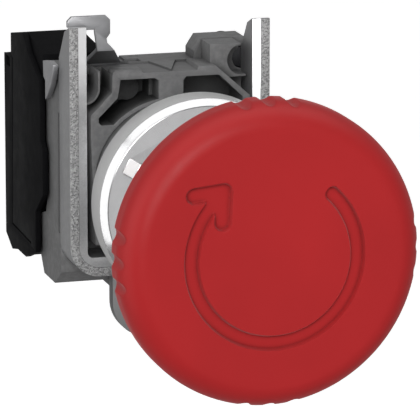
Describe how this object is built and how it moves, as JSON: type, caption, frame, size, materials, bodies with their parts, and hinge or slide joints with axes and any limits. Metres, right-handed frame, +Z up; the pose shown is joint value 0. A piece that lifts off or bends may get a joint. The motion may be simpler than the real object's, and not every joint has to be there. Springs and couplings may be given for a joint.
{
  "type": "emergency stop button",
  "caption": "Panel emergency stop with a red mushroom head, chrome bezel, rear locking collar and one side contact block; pushes in to stop and twists to release.",
  "frame": {"origin": "on the button's axis, at the front face of the panel that it is mounted in", "axes": "+Y from the operator through the panel to the back; +Z up; +X to the operator's right"},
  "size_m": [0.04, 0.0835, 0.0454],
  "materials": {
    "red_plastic": "moulded, satin gloss",
    "chrome": "polished chrome plate",
    "cast_metal": "die-cast, lightly grained",
    "dark_plastic": "moulded, satin",
    "black_plastic": "moulded, satin",
    "white_plastic": "moulded",
    "spring_steel": "drawn wire",
    "pressed_steel": "pressed sheet, zinc plated",
    "screw_steel": "zinc plated",
    "brass": "stamped strip",
    "silver_tip": "silver alloy, satin",
    "black_rubber": "moulded"
  },
  "bodies": {
    "base": {"bezel_body": "chrome", "stem_seal": "black_rubber", "panel_gasket": "black_rubber", "latch_carrier": "dark_plastic", "latch_spring_left": "spring_steel", "latch_spring_right": "spring_steel", "rear_guide": "dark_plastic", "return_spring": "spring_steel", "clamp_frame": "cast_metal", "collar_body": "dark_plastic", "clamp_screw": "screw_steel", "block_clip": "pressed_steel", "block_housing": "black_plastic", "block_cover": "black_plastic", "plunger_spring": "spring_steel", "bridge_spring": "spring_steel", "terminal_strips": "brass", "fixed_tips": "silver_tip", "wire_clamps": "pressed_steel", "terminal_screws": "screw_steel"},
    "plunger": {"plunger_stem": "dark_plastic", "trigger_rod": "screw_steel", "push_bar": "dark_plastic", "rod_clip": "pressed_steel", "twist_spring": "spring_steel"},
    "cap": {"mushroom_cap": "red_plastic", "cap_core": "dark_plastic"},
    "pin_left": {"latch_pin_left": "screw_steel"},
    "pin_right": {"latch_pin_right": "screw_steel"},
    "lock": {"lock_ring": "pressed_steel", "release_lever": "pressed_steel"},
    "contact_slider": {"contact_plunger": "white_plastic"},
    "bridge": {"contact_bridge": "brass", "moving_tips": "silver_tip"}
  },
  "joints": [
    {"name": "button_push", "type": "slide", "parent": "base", "child": "plunger", "axis": [0, 1, 0], "range_m": [0, 0.0043], "deforming": ["return_spring"]},
    {"name": "cap_twist", "type": "hinge", "parent": "plunger", "child": "cap", "pos_m": [0, 0, 0], "axis": [0, 1, 0], "range_deg": [0, 45], "stiffness_Nm_per_rad": 0.03, "deforming": ["twist_spring"]},
    {"name": "contact_push", "type": "slide", "parent": "base", "child": "contact_slider", "axis": [0, 1, 0], "range_m": [0, 0.0043], "deforming": ["plunger_spring"]},
    {"name": "contact_open", "type": "slide", "parent": "base", "child": "bridge", "axis": [0, 1, 0], "range_m": [0, 0.00284], "deforming": ["bridge_spring"]},
    {"name": "latch_left_slide", "type": "slide", "parent": "base", "child": "pin_left", "axis": [-1, 0, 0], "range_m": [0, 0.0006], "deforming": ["latch_spring_left"]},
    {"name": "latch_right_slide", "type": "slide", "parent": "base", "child": "pin_right", "axis": [1, 0, 0], "range_m": [0, 0.0006], "deforming": ["latch_spring_right"]},
    {"name": "lock_turn", "type": "hinge", "parent": "base", "child": "lock", "pos_m": [0, 0.0192, 0], "axis": [0, 1, 0], "range_deg": [0, 8]}
  ],
  "couplings": [
    {"joint": "contact_push", "follows": "button_push", "ratio": 1},
    {"joint": "contact_open", "follows": "button_push", "ratio": 0.66},
    {"joint": "latch_left_slide", "follows": "button_push", "ratio": 0.1395},
    {"joint": "latch_right_slide", "follows": "button_push", "ratio": 0.1395}
  ]
}
